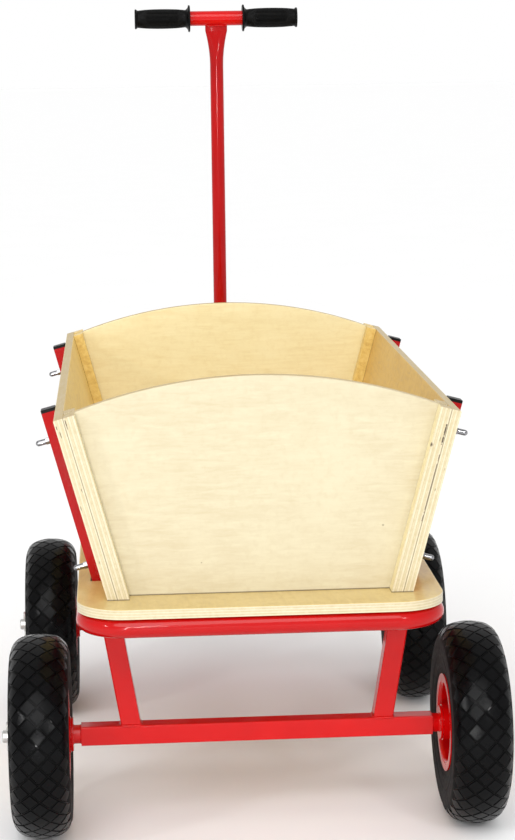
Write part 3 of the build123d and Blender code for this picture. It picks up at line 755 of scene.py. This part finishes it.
def carcass_profile():
    """Closed (x, r) loop of the tyre, with the outside lowered to the grooves under the tread."""
    outer = []
    for k in range(TREAD_STEPS + 1):
        run = CARCASS_RUN * k / TREAD_STEPS
        fade = min(1.0, max(0.0, (TREAD_RUN - run) / GROOVE_FADE))
        outer.append(surface(run, GROOVE * fade))
    last = TURN + (CARCASS_RUN - CROWN_RUN) / SHOULDER_R
    outer += arc(SHOULDER, SHOULDER_R, last, pi / 2, SHOULDER_STEPS)[1:]
    wall = side_arc(outer[-1], (BEAD_OUTER, RIM_EDGE), SIDEWALL_STEPS)
    outer += [lifted(point) for point in wall[1:]]
    outer.append((BEAD_OUTER, BEAD_R + RIM_BEND))
    outer += [(BEAD_OUTER - RIM_BEND, BEAD_R), (BEAD_INNER, BEAD_R)]
    half = outer + inside_contour()[::-1]
    return half + [(-x, r) for x, r in half[-2:0:-1]]


# A block's outline in its slanting axes, and its loops' scale, depth and mark
BLOCK_RING = ((-1, -1), (0, -1), (1, -1), (1, 0), (1, 1), (0, 1), (-1, 1), (-1, 0))
BLOCK_LOOPS = ((1.0, BLOCK_FOOT, 0.0), (0.97, CHAMFER, 0.8), (0.92, 0.0, 1.0))


def tread_block(run, angle, draw, verts, faces, marks):
    """Adds one diamond block: drafted walls, a chamfer, and a foot sunk in the carcass."""
    first = len(verts)
    sides = len(BLOCK_RING)
    half_run = BLOCK_W / 2 * BLOCK_FILL
    half_turn = pi / BLOCKS_ROUND * BLOCK_FILL
    tilt_p, tilt_q = (BLOCK_TILT * draw.uniform(-1, 1) for _ in "pq")

    def point(p, q, scale, sink, mark):
        if mark:
            sink += 2 * BLOCK_TILT + tilt_p * p + tilt_q * q
        x, r = surface(run + half_run * scale * (p + q) / 2, sink)
        turn = angle + half_turn * scale * (p - q) / 2
        verts.append((x, r * cos(turn), r * sin(turn)))
        marks.append(mark)

    for loop in BLOCK_LOOPS:
        for p, q in BLOCK_RING:
            point(p, q, *loop)
    point(0, 0, 1.0, 0.0, 1.0)
    bridge(faces, first, len(BLOCK_LOOPS), sides)
    last = first + (len(BLOCK_LOOPS) - 1) * sides
    middle = last + sides
    for k in range(1, sides, 2):
        faces.append((last + k, last + (k + 1) % sides, last + (k + 2) % sides, middle))
    faces.append(tuple(first + k for k in reversed(range(sides))))


# A ridge's section: sideways shift and depth
RIDGE_SECTION = (
    (-1.0, BLOCK_FOOT),
    (-RIDGE_TOP, GROOVE - RIDGE_H),
    (RIDGE_TOP, GROOVE - RIDGE_H),
    (1.0, BLOCK_FOOT),
)


def groove_ridge(index, sign, verts, faces, marks):
    """Adds the thin ridge along the middle of one slanting groove."""
    first = len(verts)
    slant = RIDGE_HALF * sqrt(0.5)
    for k in range(RIDGE_STEPS + 1):
        run = TREAD_RUN * RIDGE_REACH * (2 * k / RIDGE_STEPS - 1)
        turn = pi / BLOCKS_ROUND * (sign * run / (BLOCK_W / 2) + 2 * index + 1)
        for shift, sink in RIDGE_SECTION:
            x, r = surface(run - sign * shift * slant, sink)
            angle = turn + shift * slant / r
            verts.append((x, r * cos(angle), r * sin(angle)))
            marks.append(GROOVE_MARK)
    bar_faces(faces, first, RIDGE_STEPS + 1, len(RIDGE_SECTION))


def tyre_mesh():
    """Mesh of one treaded tyre about the X axis."""
    verts, faces = revolve(carcass_profile(), TYRE_STEPS)
    tread_edge = surface(TREAD_RUN, 0.0)[1]
    marks = [GROOVE_MARK if hypot(y, z) > tread_edge else SIDEWALL_MARK for _, y, z in verts]
    draw = Random(TREAD_SEED)
    for row in range(-BLOCK_ROWS, BLOCK_ROWS + 1):
        for k in range(BLOCKS_ROUND):
            angle = 2 * pi * (k + (row % 2) / 2) / BLOCKS_ROUND
            tread_block(row * BLOCK_W / 2, angle, draw, verts, faces, marks)
    ridges_from = len(faces)
    for k in range(BLOCKS_ROUND):
        for sign in (-1, 1):
            groove_ridge(k, sign, verts, faces, marks)
    piece = new_piece("tyre_pattern", verts, faces, RUBBER, WHEEL_SMOOTH)
    piece.data.materials.append(RIDGE_RUBBER)
    for face in piece.data.polygons[ridges_from:]:
        face.material_index = 1
    layer = piece.data.attributes.new("tread", "FLOAT", "POINT")
    layer.data.foreach_set("value", marks)
    return piece


# Small wheel fittings, about the X axis

HEX = 6
HEX_FLATS = 0.010
HEX_CHAMFER = ((0.0, 1.0), (0.8, 1.0), (1.0, 0.86))
RIM_BOLTS = 5
RIM_BOLT_R = 0.0295
RIM_FACE = 0.002
HEAD_H = 0.0045
NUT_H = 0.0055
BOLT_R = 0.003
BOLT_SIDES = 12
BOLT_END = ((-RIM_FACE, 1.0), (-0.0095, 1.0), (-0.0105, 0.75))


def bar(levels, radius, sides, y, z, verts, faces):
    """Adds a bar along X through levels of x and scale."""
    first = len(verts)
    for x, scale in levels:
        size = radius * scale
        verts += [(x, y + size * c, z + size * s) for c, s in circle(sides)]
    bar_faces(faces, first, len(levels), sides)


def hex_head(start, height, y, z, verts, faces):
    """Adds a chamfered hexagon from a face of the rim, by a height along X."""
    corner = HEX_FLATS / 2 / cos(pi / HEX)
    levels = [(start + height * part, scale) for part, scale in HEX_CHAMFER]
    bar(levels, corner, HEX, y, z, verts, faces)


def rim_bolt_mesh():
    """Bolts and nuts that clamp the two rim halves."""
    verts, faces = [], []
    for c, s in circle(RIM_BOLTS, shift=0.5):
        y, z = RIM_BOLT_R * c, RIM_BOLT_R * s
        hex_head(RIM_FACE, HEAD_H, y, z, verts, faces)
        hex_head(-RIM_FACE, -NUT_H, y, z, verts, faces)
        bar(BOLT_END, BOLT_R, BOLT_SIDES, y, z, verts, faces)
    return new_piece("rim_bolt_pattern", verts, faces, ZINC, WHEEL_SMOOTH)


VALVE_X = 0.013
VALVE_TIP_R = 0.0315
CAP_R = 0.0047
CAP_RIB = 0.00025
CAP_SIDES = 36
CAP_LEVELS = ((0.009, 1.0), (0.0015, 1.0), (-0.0012, 0.96), (-0.0022, 0.7))


def valve_cap_mesh():
    """Ribbed dust cap on the valve stem, pointing at the hub."""
    verts, faces = [], []
    for rise, scale in CAP_LEVELS:
        for k, (c, s) in enumerate(circle(CAP_SIDES)):
            radius = (CAP_R - CAP_RIB * (k % 2)) * scale
            verts.append((VALVE_X + radius * c, radius * s, VALVE_TIP_R + rise))
    bar_faces(faces, 0, len(CAP_LEVELS), CAP_SIDES)
    return new_piece("valve_cap_pattern", verts, faces, BLACK, WHEEL_SMOOTH)


def wheel_places():
    """Each wheel's name, hub centre and outward side."""
    for end in ("rear", "front"):
        for side, sign in (("left", -1), ("right", 1)):
            low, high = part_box(f"{end}_{side}_tyre")
            yield f"{end}_{side}", (Vector(low) + Vector(high)) / 2, sign


def place_wheel_piece(pattern, name, body, centre, sign, *replaced, spin=0.0):
    """Copy of a wheel piece at a hub, spun about the axle, with its outer side outwards."""
    mesh = pattern.data.copy()
    spun = outward(sign) @ Matrix.Rotation(spin, 4, "X")
    mesh.transform(Matrix.Translation(centre) @ spun)
    piece = add_object(name, mesh)
    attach(piece, body)
    if replaced:
        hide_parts(*replaced)
    return piece


def dress_wheels():
    """Treaded tyres, rim bolts and valve caps on all wheels."""
    tyre, bolts, cap = tyre_mesh(), rim_bolt_mesh(), valve_cap_mesh()
    for name, centre, sign in wheel_places():
        body = f"{name}_wheel"
        treaded = place_wheel_piece(
            tyre, f"{name}_treaded_tyre", body, centre, sign, f"{name}_tyre",
            spin=TYRE_SPINS.get(name, 0.0),
        )
        place_wheel_piece(bolts, f"{name}_rim_bolts", body, centre, sign)
        place_wheel_piece(cap, f"{name}_valve_cap", body, centre, sign)
    for pattern in (tyre, bolts, cap):
        bpy.data.objects.remove(pattern)


# Grips: barrel with fine lengthwise ribs and rounded flanges

GRIP_BORE = 0.0115
GRIP_RIBS = 44
RIB_POINTS = 4
RIB_H = 0.00035
RIB_FADE = 3
BARREL_R = 0.0135
BARREL_CROWN = 0.0014
BARREL_STEPS = 16
FLANGE_R = 0.02098
END_R = 0.0155
RIM_HALF = 0.0016
FLANGE_RIM_H = 0.0014
END_RIM_H = 0.001
FLANGE_TURNS = (0.5, 1.1, 1.57, 2.1, 2.7)
END_TURNS = (0.6, 1.57, 2.6)
GRIP_SMOOTH = 40

# Distance from the inner or the outer end, and radius
FLANGE_BACK = (
    (0.0032, FLANGE_R - 0.0026),
    (0.0044, BARREL_R + 0.0026),
    (0.0062, BARREL_R + 0.0006),
)
BARREL_FROM = 0.0078
BARREL_TO = 0.0055
END_FRONT = (
    (0.0042, BARREL_R + 0.0001),
    (0.0034, BARREL_R + 0.0008),
    (0.0033, END_R - 0.0008),
)
END_FACE = ((0.0, END_R - 0.0026), (0.0, 0.004), (0.0, 0.0), (0.003, 0.0), (0.003, GRIP_BORE))


def rounded_rim(x, r, height, turns):
    """Points (x, r) over a flange's rounded rim."""
    return [(x + RIM_HALF - RIM_HALF * cos(t), r - height + height * sin(t)) for t in turns]


def grip_profile(inner, outer):
    """(x, r, rib share) loop of a grip from its inner end to its closed outer end."""
    near = [(inner, GRIP_BORE), (inner, FLANGE_R - FLANGE_RIM_H)]
    near += rounded_rim(inner, FLANGE_R, FLANGE_RIM_H, FLANGE_TURNS)
    near += [(inner + along, r) for along, r in FLANGE_BACK]
    barrel = []
    start, stop = inner + BARREL_FROM, outer - BARREL_TO
    for k in range(BARREL_STEPS + 1):
        part = k / BARREL_STEPS
        r = BARREL_R + BARREL_CROWN * (1 - (2 * part - 1) ** 2)
        share = min(1.0, min(k, BARREL_STEPS - k) / RIB_FADE)
        barrel.append((start + (stop - start) * part, r, share))
    far = [(outer - along, r) for along, r in END_FRONT]
    far += rounded_rim(outer - 2 * RIM_HALF, END_R, END_RIM_H, END_TURNS)
    far += [(outer - along, r) for along, r in END_FACE]
    return [(x, r, 0) for x, r in near] + barrel + [(x, r, 0) for x, r in far]


def grip_mesh(name, inner, outer):
    """Closed mesh of one grip about the X axis."""
    steps = GRIP_RIBS * RIB_POINTS
    verts, faces, rings = [], [], []
    for x, r, share in grip_profile(inner, outer):
        if r == 0.0:
            rings.append([len(verts)] * steps)
            verts.append((x, 0.0, 0.0))
            continue
        rings.append(range(len(verts), len(verts) + steps))
        for k, (c, s) in enumerate(circle(steps)):
            ribbed = r + RIB_H * share * (1 if k % RIB_POINTS < RIB_POINTS / 2 else -1)
            verts.append((x, ribbed * c, ribbed * s))
    for near, far in zip(rings, rings[1:] + rings[:1]):
        for k in range(steps):
            n = (k + 1) % steps
            corners = tuple(dict.fromkeys((near[k], near[n], far[n], far[k])))
            if len(corners) > 2:
                faces.append(corners)
    return new_piece(name, verts, faces, GRIP, GRIP_SMOOTH)


def dress_grips():
    """Ribbed grips in place of the plain ones."""
    for side, sign in (("left", -1), ("right", 1)):
        low, high = (Vector(c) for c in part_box(f"{side}_grip"))
        centre = (low + high) / 2
        inner, outer = sorted((abs(low.x), abs(high.x)))
        piece = grip_mesh(f"{side}_ribbed_grip", inner, outer)
        piece.data.transform(Matrix.Translation((0, centre.y, centre.z)) @ outward(sign))
        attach(piece, "drawbar")
        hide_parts(f"{side}_grip")


# Weld beads along the frame's joints

WELD_R = 0.0021
COLLAR_WELD_R = 0.0011
HANDLE_WELD_R = 0.0014
WELD_STEP = 0.0022
WELD_SIDES = 8
WELD_SMOOTH = 60
WELD_END, WELD_RISE = 0.45, 0.3

# Height and pace of the ripples in a bead
RIPPLES = ((0.16, 1.9), (0.08, 0.73))

# A vertex this near to a level belongs to a tube's end there
LEG_NEAR = 0.0006
STRUT_NEAR = 0.0005

# Tubes, collars and the pole's pressed end, where the beads lie
TUBE_HALF = 0.0125
SIDE_SHARE = 0.8
STRUT_INSET = 0.001
COLLAR_R = 0.012
COLLAR_L = 0.010
COLLAR_SIDES = 16
FLANGE_T = 0.003
POLE_END_HALF = 0.003
POLE_LEAN = radians(2.5)
HANDLE_WELD_OUT = 0.0032
HANDLE_WELD_HALF = 0.0172


def bead_stations(points, closed):
    """Evenly spaced places along the straight runs between a bead's points."""
    line = [Vector(p) for p in points]
    if closed:
        line.append(line[0])
    stations = []
    for a, b in zip(line, line[1:]):
        count = max(2, int((b - a).length / WELD_STEP))
        stations += [a.lerp(b, k / count) for k in range(count)]
    return stations if closed else stations + line[-1:]


def bead(points, radius, closed, verts, faces):
    """Adds a rippled weld bead along straight runs between points."""
    first = len(verts)
    stations = bead_stations(points, closed)
    total = len(stations)
    for index, place in enumerate(stations):
        before = stations[index - 1] if index or closed else place
        after = stations[(index + 1) % total] if index + 1 < total or closed else place
        ahead = (after - before).normalized()
        across = ahead.orthogonal().normalized()
        other = ahead.cross(across)
        size = radius * (1.0 + sum(height * sin(index * pace) for height, pace in RIPPLES))
        if not closed:
            size *= min(1.0, WELD_END + min(index, total - 1 - index) * WELD_RISE)
        verts += [place + (across * c + other * s) * size for c, s in circle(WELD_SIDES)]
    if closed:
        bridge(faces, first, total, WELD_SIDES, closed=True)
    else:
        bar_faces(faces, first, total, WELD_SIDES)


def weld_piece(name, body, paths, radius=WELD_R, closed=False):
    """One piece with several beads, riding on a body."""
    verts, faces = [], []
    for points in paths:
        bead(points, radius, closed, verts, faces)
    piece = new_piece(name, verts, faces, PAINT, WELD_SMOOTH)
    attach(piece, body)


def leg_span(node, z, sign):
    """Lowest and highest x of a leaning leg's low or high end, on one side."""
    points = [v.co for v in nodes[node].data.vertices]
    xs = [p.x for p in points if abs(p.z - z) < LEG_NEAR and p.x * sign > 0]
    return min(xs), max(xs)


def cross_beads(span, y, z):
    """A bead across each of a square tube's two faces."""
    low, high = span
    return [((low, side, z), (high, side, z)) for side in (y - TUBE_HALF, y + TUBE_HALF)]


def leg_welds(legs):
    """Beads round the feet of a pair of legs and across their heads."""
    low, high = (Vector(c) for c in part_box(legs))
    y = (low.y + high.y) / 2
    reach = TUBE_HALF * SIDE_SHARE
    paths = []
    for sign in (-1, 1):
        span = leg_span(legs, low.z, sign)
        paths += cross_beads(span, y, low.z)
        paths += [((x, y - reach, low.z), (x, y + reach, low.z)) for x in span]
        paths += cross_beads(leg_span(legs, high.z, sign), y, high.z)
    return paths


def collar_welds(beam):
    """Rings at both ends of the collars on an axle beam."""
    low, high = (Vector(c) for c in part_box(beam))
    middle = (low + high) / 2
    ring = [(middle.y + COLLAR_R * c, middle.z + COLLAR_R * s) for c, s in circle(COLLAR_SIDES)]
    return [
        [(sign * (high.x - inset), y, z) for y, z in ring]
        for inset in (FLANGE_T, FLANGE_T + COLLAR_L)
        for sign in (-1, 1)
    ]


def strut_welds():
    """Beads up the sides of the drawbar strut's ends, and across its head."""
    low, high = (Vector(c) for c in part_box("drawbar_strut"))
    points = [v.co for v in nodes["drawbar_strut"].data.vertices]
    paths = []
    for y in (low.y, high.y):
        levels = [p.z for p in points if abs(p.y - y) < STRUT_NEAR]
        bottom, top = min(levels), max(levels)
        for x in (-TUBE_HALF, TUBE_HALF):
            paths.append(((x, y, bottom + STRUT_INSET), (x, y, top - STRUT_INSET)))
        if y == high.y:
            paths += [((-TUBE_HALF, y, z), (TUBE_HALF, y, z)) for z in (bottom, top)]
    return paths


def handle_welds():
    """Beads where the pressed pole end meets the crossbar."""
    low, high = (Vector(c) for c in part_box("drawbar_crossbar"))
    centre = (low + high) / 2
    radius = (high.z - low.z) / 2
    z = centre.z - radius * cos(asin(POLE_END_HALF / radius))
    middle = centre.y + sin(POLE_LEAN) * radius
    ys = (middle - HANDLE_WELD_OUT, middle + HANDLE_WELD_OUT)
    return [((-HANDLE_WELD_HALF, y, z), (HANDLE_WELD_HALF, y, z)) for y in ys]


def dress_welds():
    """Beads at the legs, the beams' collars, the strut and the crossbar."""
    for end, body in (("rear", "frame"), ("front", "steering")):
        weld_piece(f"{end}_leg_welds", body, leg_welds(f"{end}_legs"))
        collars = collar_welds(f"{end}_axle_beam")
        weld_piece(f"{end}_beam_welds", body, collars, COLLAR_WELD_R, closed=True)
    weld_piece("strut_welds", "steering", strut_welds())
    weld_piece("handle_weld", "drawbar", handle_welds(), HANDLE_WELD_R)


# Studio

FLOOR_HALF = 60
FLOOR_SMOOTH = 35
SKY = 0.74
HORIZON_TOP, SKY_FROM = 0.14, 0.26
SUN_POWER = 1.3
SUN_SPREAD = 40
SUN_TURN = (46, 0, -8)
AIM = (0, 0, 0.45)

# Name, place, size and power
SOFT_LIGHTS = (
    ("flash", (-0.5, -3.3, 0.55), 0.25, 16),
    ("left_softbox", (-2.4, -2.2, 1.7), 0.3, 14),
    ("right_softbox", (1.2, -3.0, 1.7), 0.35, 12),
    ("camera_flash", (-0.12, -3.1, 1.15), 0.08, 3),
)


def make_floor():
    """Wide pale floor under the wagon."""
    corners = ((-1, -1), (1, -1), (1, 1), (-1, 1))
    verts = [(x * FLOOR_HALF, y * FLOOR_HALF, 0) for x, y in corners]
    floor = new_piece("studio_floor", verts, [(0, 1, 2, 3)], floor_material(), FLOOR_SMOOTH)


def make_world():
    """White surround, brightest near the horizon."""
    world = bpy.data.worlds.new("studio")
    world.use_nodes = True
    tree = Tree(world.node_tree)
    way = tree.add("ShaderNodeTexCoord", out="Generated")
    glow = tree.ramp(tree.absolute(tree.axis("Z", way)), (HORIZON_TOP, 1.0), (SKY_FROM, SKY))
    surround = tree.add("ShaderNodeBackground", glow)
    output = world.node_tree.nodes.new("ShaderNodeOutputWorld")
    tree.put(output.inputs[0], surround)
    bpy.context.scene.world = world


def make_lights():
    """A soft sun, and square lights that point at the wagon's middle."""
    data = bpy.data.lights.new("key", "SUN")
    data.energy = SUN_POWER
    data.angle = radians(SUN_SPREAD)
    sun = add_object("key", data)
    sun.rotation_euler = [radians(turn) for turn in SUN_TURN]
    for name, place, size, power in SOFT_LIGHTS:
        data = bpy.data.lights.new(name, "AREA")
        data.size = size
        data.energy = power
        light = add_object(name, data)
        light.location = place
        light.rotation_euler = (Vector(AIM) - Vector(place)).to_track_quat("-Z", "Y").to_euler()


make_camera()
dress_nodes()
dress_wheels()
dress_grips()
dress_welds()
make_floor()
make_world()
make_lights()
bpy.context.scene.view_settings.view_transform = "Standard"
bpy.context.view_layer.update()
